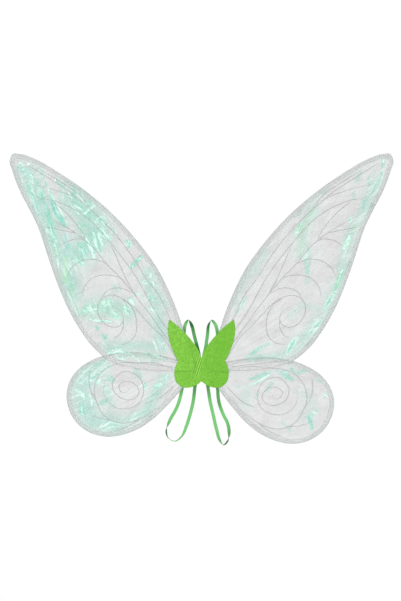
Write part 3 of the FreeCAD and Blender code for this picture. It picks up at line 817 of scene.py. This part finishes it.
def relief(wing, points, run, crumpled):
    """The film's height towards the viewer, its distance from the hem's outer edge, and its looks."""
    side = wing[1]
    gap, along = to_run(points, run)
    arm = points - ROOT * (SIDES[side], 1)
    far = np.linalg.norm(arm, axis=1)
    angle = np.arctan2(arm[:, 1], arm[:, 0] * SIDES[side])
    x, z = points[:, 0], points[:, 1]
    slow = field(x, z, 70 * MM, 1.3) * 1.7 + field(x, z, 28 * MM, 4.4) * 0.6
    fan = angle * 300 * MM
    slow += field(far, fan, 6 * MM, 7.4, 7.0) * 0.16
    drift = field(x, z, 60 * MM, 6.6)
    pleats = np.sin(angle * 95 + drift * 3) * 0.55 + np.sin(angle * 41 + drift * 2) * 0.8
    pleats *= np.exp(-far / (110 * MM)) * step_up(far / (40 * MM))
    puckers = np.sin(along * 2 * math.pi / PUCKER + drift * 4)
    puckers *= np.exp(-np.abs(gap - HEM_WIDTH) / (9 * MM))
    height, looks = crumpled(points)
    if wing == ("upper", "left"):
        thread = field(x, z, 8 * MM, 5.7, 8.0, 1.96)
    else:
        thread = field(far, fan, 8 * MM, 5.7, 8.0)
    # painted highlights along thin crease lines
    looks["painted_crease_highlight"] = np.exp(-(thread / 0.11) ** 2) * step_up(0.5 + 1.5 * field(x, z, 35 * MM, 9.9))
    flat = step_up((gap - 1.0 * MM) / (22 * MM))
    room = 0.22 + 0.78 * clear_of_overlap(z)
    return ((slow + pleats + puckers * 0.28) * MM + height) * flat * room, gap, looks


def beside(points, other):
    """1 away from the wing that this one overlaps, and 0 on it. other is the outline of that wing."""
    return 1 - inside(points, other) * step_up(to_run(points, other)[0] / (2 * MM))


def clear_of_overlap(z):
    """0 at the heights where an upper wing lies over a lower one, rising to 1 away from them."""
    return step_up((np.abs(z - 12 * MM) - 26 * MM) / (30 * MM))


def ply_height(plane, gap, stand, toward):
    """The place of a ply along Y: a little nearer the other one away from the wire."""
    return plane - stand - toward * PLY_RISE * (1 - 0.35 * step_up(gap / (30 * MM)))


def film(wing, plane, run, other):
    """The two plies of one wing, its printed veins and its hem, as pieces riding on that side's body."""
    which, side = wing
    body = f"{side}_wing"
    edge = resampled(run, FILM_STEP * 1.3)
    points, faces = filled(edge, FILM_STEP)
    crumpled = crumple(wing, run)
    stand, gap, looks = relief(wing, points, edge, crumpled)
    area = abs(signed_area(run))
    for ply, toward, material in (("front", 1, FRONT_FILM), ("back", -1, BACK_FILM)):
        own = field(points[:, 0], points[:, 1], 12 * MM, 3.5 + 1.5 * toward) * 0.12 * MM
        y = ply_height(plane, gap, stand, toward) + own
        spots = np.column_stack([points[:, 0], y, points[:, 1]])
        turned_faces = faces if ply == "front" else [f[::-1] for f in faces]
        sheet = piece(f"{which}_{side}_film_{ply}_sheet", spots, turned_faces, material)
        share = 1.0 if ply == "front" else 0.6
        for key, values in looks.items():
            give(sheet, key, values * share)
        normals = np.zeros(3 * len(points))
        sheet.data.vertices.foreach_get("normal", normals)
        give(sheet, "open", beside(points, other))
        # painted light: how far each facet faces up and to the left, towards the key light
        give(sheet, "tilt", np.clip((normals[2::3] * 0.8 - normals[0::3] * 0.6) * FACET_LIGHT_GAIN, -1, 1))
        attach(sheet, body)
        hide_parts(f"{which}_{side}_film_{ply}")
    veins = vein_piece(wing, plane, edge, crumpled)
    hem = hem_piece(wing, plane, run, other)
    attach(veins, body)
    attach(hem, body)
    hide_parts(f"{which}_{side}_hem")


def vein_routes(wing):
    """The printed lines of one wing, in metres: the right wing's are mirrored for the left."""
    which, side = wing
    routes = UPPER_VEINS if which == "upper" else LOWER_VEINS
    if side == "left":
        turn = 2 * DROOP if which == "lower" else 0.0
        routes = [mirrored(turned(route, turn)) for route in routes]
    return [np.array(route, float) * MM for route in routes]


def vein_piece(wing, plane, edge, crumpled):
    """Raised printed lines that lie on the front ply and thin out at their ends."""
    spots, faces = [], []
    profile = [(math.cos(a), math.sin(a)) for a in np.linspace(0, 2 * math.pi, 9)[:-1]]
    for route in vein_routes(wing):
        path = smooth_path(route, 2.5 * MM)
        stand, gap = relief(wing, path, edge, crumpled)[:2]
        y = ply_height(plane, gap, stand, 1)
        line = np.column_stack([path[:, 0], y, path[:, 1]])
        tangent = np.gradient(line, axis=0)
        tangent /= np.linalg.norm(tangent, axis=1, keepdims=True)
        across = np.cross(tangent, (0, -1, 0))
        across /= np.linalg.norm(across, axis=1, keepdims=True)
        up = np.cross(across, tangent)
        share = np.linspace(0, 1, len(line))
        taper = np.minimum(1, 0.35 + 0.65 * np.minimum(share / 0.08, (1 - share) / 0.2))
        first = len(spots)
        for p, a, u, w in zip(line, across, up, taper):
            spots += [p + a * c * VEIN_HALF_WIDTH * w + u * s * VEIN_RISE * w for c, s in profile]
        faces += tube(first, len(line), len(profile))
    return piece(f"{wing[0]}_{wing[1]}_veins", spots, faces, GLITTER)


def hem_piece(wing, plane, run, other):
    """The folded border round the wire: a flattened sleeve with puckers and two sealed ridges."""
    which, side = wing
    edge = resampled(run, HEM_STEP)
    ahead = np.roll(edge, -1, axis=0) - np.roll(edge, 1, axis=0)
    ahead /= np.linalg.norm(ahead, axis=1, keepdims=True)
    turn = 1 if signed_area(edge) > 0 else -1
    inward = np.column_stack([-ahead[:, 1], ahead[:, 0]]) * turn
    # (distance in from the edge, height from the wire's plane) in mm, over the front and round the back
    front = [(0.2, 0.0), (0.6, 0.85), (1.7, 1.25), (3.3, 1.38), (4.9, 1.28), (6.2, 1.22), (7.0, 1.40),
             (7.8, 1.22), (9.2, 1.22), (10.2, 1.38), (10.9, 1.25), (11.0, 1.18)]
    loop = np.array(front + [(d, -h) for d, h in front[:0:-1]]) * MM
    spots, faces, across = [], [], []
    for i, (p, n) in enumerate(zip(edge, inward)):
        along = i * HEM_STEP
        pucker = noise.noise(Vector((along / (5 * MM), 0.5, 7.0 + SIDES[side])))
        wave = noise.noise(Vector((along / (26 * MM), 2.5, 3.0 + SIDES[side])))
        for d, h in loop:
            share = d / HEM_WIDTH
            q = p + n * (d + wave * 0.9 * MM * min(1.0, share) ** 2)
            lift = pucker * 0.14 * MM * math.sin(math.pi * min(1.0, d / (HEM_WIDTH + 0.5 * MM))) * np.sign(h)
            spots.append((q[0], plane - h - lift, q[1]))
            across.append(share)
    m, count = len(loop), len(edge)
    for i in range(count):
        j = (i + 1) % count
        for k in range(m):
            e = (k + 1) % m
            face = (i * m + k, i * m + e, j * m + e, j * m + k)
            faces.append(face if turn > 0 else face[::-1])
    hem = piece(f"{which}_{side}_hem_sleeve", spots, faces, HEM_FILM)
    give(hem, "across", across)
    give(hem, "open", beside(np.array(spots)[:, ::2], other))
    return hem


def wings():
    """All four wings, each on the plane of its own wire. Returns their outlines."""
    runs = {(which, side): outline(f"{which}_{side}_film_front")
            for side in SIDES for which in ("upper", "lower")}
    for (which, side), run in runs.items():
        low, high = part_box(f"{which}_{side}_wire")
        other = runs["lower" if which == "upper" else "upper", side]
        film((which, side), (low.y + high.y) / 2, run, other)
        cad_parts[f"{which}_{side}_wire"].data.materials.clear()
        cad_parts[f"{which}_{side}_wire"].data.materials.append(WIRE)
    return runs


# ================================================================ felt
def felt_half(side):
    """The outline of one half of the butterfly, from the middle line outwards."""
    sign = SIDES[side]
    half = outline(f"back_felt_{side}")
    web = outline("centre_web")
    half = half * (sign, 1)
    web = web[web[:, 0] * sign > -1e-6] * (sign, 1)
    web = web[np.argsort(web[:, 0])]
    top, bottom = web[web[:, 1] > 0], web[web[:, 1] < 0][::-1]
    cut = half[:, 0].min() + 1e-5
    on_cut = np.where(half[:, 0] < cut)[0]
    start = on_cut[half[on_cut, 1].argmax()]
    ring = np.roll(half, -start, axis=0)
    if ring[1, 0] < cut:
        ring = np.roll(ring[::-1], 1, axis=0)
    end = [i for i in range(1, len(ring)) if ring[i, 0] < cut][0]
    full = np.vstack([top, ring[:end + 1], bottom])
    return full * (sign, 1)


def cover(side, runs, points):
    """How much the wing roots lift the front felt at each point, from 0 to 1."""
    lift = np.zeros(len(points))
    for which, height in (("upper", 1.0), ("lower", 0.55)):
        run = resampled(runs[which, side], 3 * MM)
        gap, _ = to_run(points, run)
        gap[inside(points, run)] = 0
        lift = np.maximum(lift, height * step_up(1 - gap / (9 * MM)))
    return lift


def felt_slab(name, run, front, back, material, painted_shade, painted_fold_light):
    """A closed felt shape between two height functions of (points, distance from the edge)."""
    edge = resampled(run, FELT_STEP, corner=25)
    points, faces = filled(edge, FELT_STEP)
    gap, _ = to_run(points, edge)
    count = len(edge)
    top, bottom = front(points, gap), back(points, gap)
    spots = np.vstack([np.column_stack([points[:, 0], top, points[:, 1]]),
                       np.column_stack([points[:, 0], bottom, points[:, 1]])])
    n = len(points)
    clockwise = signed_area(edge) < 0
    all_faces = [tuple(f) for f in faces] + [tuple(i + n for i in reversed(f)) for f in faces]
    for i in range(count):
        j = (i + 1) % count
        rim = (i, i + n, j + n, j)
        all_faces.append(rim[::-1] if clockwise else rim)
    slab = piece(name, spots, all_faces, material)
    # painted shade, and painted light and shade along the folds, one number for each point
    give(slab, "painted_shade", np.tile(painted_shade(points), 2))
    give(slab, "painted_fold_light", np.tile(painted_fold_light(points), 2))
    return slab


def felts(runs):
    """Both halves of the front and back felt butterfly, bent over the wing roots, and the boards' look."""
    web_low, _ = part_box("centre_web")
    front_low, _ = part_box("front_felt_left")
    rest = web_low.y                            # the felts meet here at the middle and free edges
    rise = rest - FELT_THICK - front_low.y      # from there to the front felt's outer face
    for side, sign in SIDES.items():
        run = felt_half(side)

        def rounding(gap):
            """How far the cut edge rounds inwards, by the distance from it."""
            r = 0.55 * MM
            g = np.clip(gap / r, 0, 1)
            return r * (1 - np.sqrt(1 - (1 - g) ** 2))

        def creases(points):
            """Slanting folds where the felt is gathered between the wings, from -1 to 1, which also set
            painted light and shade along them.
            """
            x, z = points[:, 0], points[:, 1]
            slant = (x - 0.30 * z) / MM
            wave = np.sin(slant * 1.25 + 2.0 * field(x, z, 20 * MM, 7.7, 3.0, 1.25))
            middle = -7 + 0.10 * z / MM
            zone = np.exp(-((x / MM - middle) / 9) ** 2) * np.exp(-((z / MM - 3) / 27) ** 4)
            return wave * zone

        def rumple(points):
            """The uneven surface of the front felt, with its folds."""
            x, z = points[:, 0], points[:, 1]
            rough = field(x, z, 7 * MM, 2.2) * 0.10 + field(x, z, 24 * MM, 5.1) * 0.22
            return (rough + creases(points) * 0.7) * MM

        def painted_shade(points):
            """Painted shade on the felt: all over the right half and most outside a line down it, and a
            little low on the left half.
            """
            x, z = points[:, 0] / MM, points[:, 1] / MM
            line = 27 + 0.12 * (z - 20)
            outer = 0.55 + 0.45 * step_up((x - line + 3) / 5)
            low = 0.35 * np.exp(-((x + 33) / 22) ** 2 - ((z + 22) / 16) ** 2)
            return np.where(x > 0, outer * step_up((x + 2) / 8), low)

        def lifted(points):
            """How far the wing roots push the front felt out, which is nothing at the middle."""
            middle = step_up((np.abs(points[:, 0]) - 4 * MM) / (15 * MM))
            return rise * cover(side, runs, points) * middle

        def front(points, gap):
            return rest - FELT_THICK - lifted(points) + rumple(points) + rounding(gap)

        def front_inner(points, gap):
            return rest - lifted(points) - rounding(gap) * 0.5

        def back_outer(points, gap):
            return np.full(len(points), rest + 0.02 * MM) + rounding(gap) * 0.5

        def back(points, gap):
            x, z = points[:, 0], points[:, 1]
            rough = field(x, z, 7 * MM, 12.2) * 0.06 * MM
            return rest + 1.2 * MM + rough - rounding(gap)

        made = [(f"front_felt_{side}_cloth", front, front_inner, (f"front_felt_{side}", "centre_web")),
                (f"back_felt_{side}_cloth", back_outer, back, (f"back_felt_{side}",))]
        area = abs(signed_area(run))
        for name, outer, inner, nodes in made:
            # the felt gets its painted shade and the painted light and shade along its folds here
            cloth = felt_slab(name, run, outer, inner, FELT, painted_shade, creases)
            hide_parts(*nodes)
            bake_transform(cloth)
        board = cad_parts[f"hub_board_{side}"]
        board.data.materials.clear()
        board.data.materials.append(CARD)


# ================================================================ straps and patch
def ribbon(side, table):
    """One arm loop: a flat strip swept along its table's points, twisting as it goes."""
    points = [(x * MM, z * MM, y * MM, math.radians(twist), lift) for x, z, y, twist, lift in table]
    rows = smooth_path(points, 2.0 * MM)
    line = np.column_stack([rows[:, 0], rows[:, 2], rows[:, 1]])
    tangent = np.gradient(line, axis=0)
    tangent /= np.linalg.norm(tangent, axis=1, keepdims=True)
    flat = np.column_stack([-tangent[:, 2], np.zeros(len(line)), tangent[:, 0]])
    flat /= np.linalg.norm(flat, axis=1, keepdims=True)
    # (place across, height) once round the section: thicker rolled edges and a slightly crowned face
    half = [(-1.0, 0.0), (-0.985, 0.42), (-0.93, 0.60), (-0.84, 0.50), (-0.72, 0.44), (-0.5, 0.47),
            (-0.25, 0.49), (0.0, 0.50), (0.25, 0.49), (0.5, 0.47), (0.72, 0.44), (0.84, 0.50), (0.93, 0.60),
            (0.985, 0.42)]
    loop = half + [(-a, -h) for a, h in half]
    far = np.concatenate([[0], np.cumsum(np.linalg.norm(np.diff(line, axis=0), axis=1))])
    spots, across, along, face = [], [], [], []
    toward = np.array((0.0, 1.0, 0.0))
    for p, m, angle, lift, s in zip(line, flat, rows[:, 3], rows[:, 4], far):
        wide = m * math.cos(angle) + toward * math.sin(angle)
        up = -toward * math.cos(angle) + m * math.sin(angle)
        for a, h in loop:
            spots.append(p + wide * a * RIBBON_WIDTH / 2 + up * h * RIBBON_THICK)
            across.append(a)
            along.append(s)
            # which side shows, plus the table's painted light and shade
            face.append(np.clip(0.5 + 0.5 * np.clip(h * 4, -1, 1) + lift, 0, 1))
    band = piece(f"{side}_arm_loop", spots, tube(0, len(line), len(loop)), ELASTIC)
    for key, values in (("across", across), ("along", along), ("face", face)):
        give(band, key, values)
    face_outwards(band)
    print(f"{side} arm loop is {far[-1] * 1000:.0f} mm long")
    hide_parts(f"{side}_strap_loop", f"{side}_strap_tail")
    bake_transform(band)


def patch():
    """The sewn felt patch over the loop ends, with its stitches."""
    low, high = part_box("strap_patch")
    centre = (low + high) / 2
    half = ((high.x - low.x) / 2, (high.z - low.z) / 2)
    corner = 2.5 * MM
    seam_in = 2.2 * MM                          # from the patch's edge to its stitches
    run = []
    for k, (sx, sz) in enumerate(((1, 1), (-1, 1), (-1, -1), (1, -1))):
        for a in np.linspace(k * math.pi / 2, (k + 1) * math.pi / 2, 6):
            run.append((centre.x + sx * (half[0] - corner) + corner * math.cos(a),
                        centre.z + sz * (half[1] - corner) + corner * math.sin(a)))
    run = np.array(run)

    def outer(points, gap):
        return np.full(len(points), low.y + 0.5 * MM) + 0.3 * MM * (1 - np.clip(gap / MM, 0, 1))

    def inner(points, gap):
        dent = 0.35 * MM * np.exp(-((gap - seam_in) / (0.6 * MM)) ** 2)
        return high.y - dent - 0.35 * MM * (1 - np.clip(gap / MM, 0, 1)) ** 2

    plain = lambda points: np.zeros(len(points))
    cloth = felt_slab("strap_patch_cloth", run, outer, inner, FELT, plain, plain)
    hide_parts("strap_patch")
    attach(cloth, "spine")

    seam = resampled(np.array([(centre.x + sx * (half[0] - seam_in), centre.z + sz * (half[1] - seam_in))
                               for sx, sz in ((1, 1), (-1, 1), (-1, -1), (1, -1))]), 2.6 * MM)
    ahead = np.roll(seam, -1, axis=0) - seam
    spots, faces = [], []
    radius = 0.22 * MM
    for p, d in zip(seam, ahead):
        first = len(spots)
        steps = 7
        for i in range(steps):
            t = i / (steps - 1)
            q = p + d * (0.12 + 0.7 * t)
            y = high.y - 0.34 * MM + 0.30 * MM * math.sin(math.pi * t)
            swell = radius * (0.6 + 0.4 * math.sin(math.pi * t))
            side = np.array((-d[1], d[0])) / np.linalg.norm(d)
            for a in np.linspace(0, 2 * math.pi, 7)[:-1]:
                c = q + side * math.cos(a) * swell
                spots.append((c[0], y + math.sin(a) * swell, c[1]))
        faces += tube(first, steps, 6)
    stitches = piece("patch_stitches", spots, faces, THREAD)
    face_outwards(stitches)
    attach(stitches, "spine")


# ================================================================ stage
def studio_world():
    """White to the camera, and for the object a soft glow that is brighter above."""
    world = bpy.data.worlds.new("studio")
    bpy.context.scene.world = world
    world.use_nodes = True
    nodes, links = world.node_tree.nodes, world.node_tree.links
    where = nodes.new("ShaderNodeTexCoord")
    split = nodes.new("ShaderNodeSeparateXYZ")
    glow = nodes.new("ShaderNodeMapRange")
    for name, value in (("From Min", -0.6), ("From Max", 0.8), ("To Min", 0.35), ("To Max", 0.95)):
        glow.inputs[name].default_value = value
    seen = nodes.new("ShaderNodeLightPath")
    pick = nodes.new("ShaderNodeMix")
    pick.inputs[3].default_value = 1.0
    nodes["Background"].inputs["Color"].default_value = (1, 1, 1, 1)
    links.new(where.outputs["Generated"], split.inputs[0])
    links.new(split.outputs["Z"], glow.inputs["Value"])
    links.new(seen.outputs["Is Camera Ray"], pick.inputs[0])
    links.new(glow.outputs[0], pick.inputs[2])
    links.new(pick.outputs[0], nodes["Background"].inputs["Strength"])


def pale_floor():
    """A pale floor well below the wings."""
    level = CAD_BOX[0].z - FLOOR_DROP
    left, right, front, back = -1.6, 1.6, -1.6, 0.3
    corners = [(left, front, level), (right, front, level), (right, back, level), (left, back, level)]
    look = Look("pale_floor")
    look.set(Base_Color=(0.9, 0.9, 0.9), Roughness=0.8)
    floor = piece("floor", corners, [(0, 1, 2, 3)], look.material, smooth=False)


def lights():
    """Soft square lights that face the middle of the wings: (name, place, size, watts)."""
    middle = Vector((0, 0, (CAD_BOX[0].z + CAD_BOX[1].z) / 2))
    for name, place, size, power in (("key", (-1.7, -2.2, 1.9), 1.4, 46), ("fill", (2.3, -1.8, 0.6), 1.6, 16),
                                     ("rim", (0.6, 2.2, 1.8), 1.5, 24)):
        light = bpy.data.lights.new(name, "AREA")
        light.shape = "SQUARE"
        light.size = size
        light.energy = power
        lamp = bpy.data.objects.new(name, light)
        lamp.location = place
        lamp.rotation_euler = (middle - Vector(place)).to_track_quat("-Z", "Y").to_euler()
        bpy.context.scene.collection.objects.link(lamp)


def camera():
    """Straight from behind the wearer, with a long lens."""
    scene = bpy.context.scene
    lens = bpy.data.cameras.new("camera")
    lens.lens, lens.sensor_width = 100, 36
    eye = bpy.data.objects.new("camera", lens)
    eye.location = (-0.0024, -VIEW_HEIGHT * lens.lens / lens.sensor_width, 0.159)
    eye.rotation_euler = (math.pi / 2, 0, 0)
    scene.collection.objects.link(eye)
    scene.camera = eye
    scene.view_settings.view_transform = "Standard"
    scene.cycles.transparent_max_bounces = 32            # a line of sight can cross many plies


studio_world()
pale_floor()
lights()
camera()
RUNS = wings()
felts(RUNS)
ribbon("left", LEFT_RIBBON)
ribbon("right", RIGHT_RIBBON)
patch()
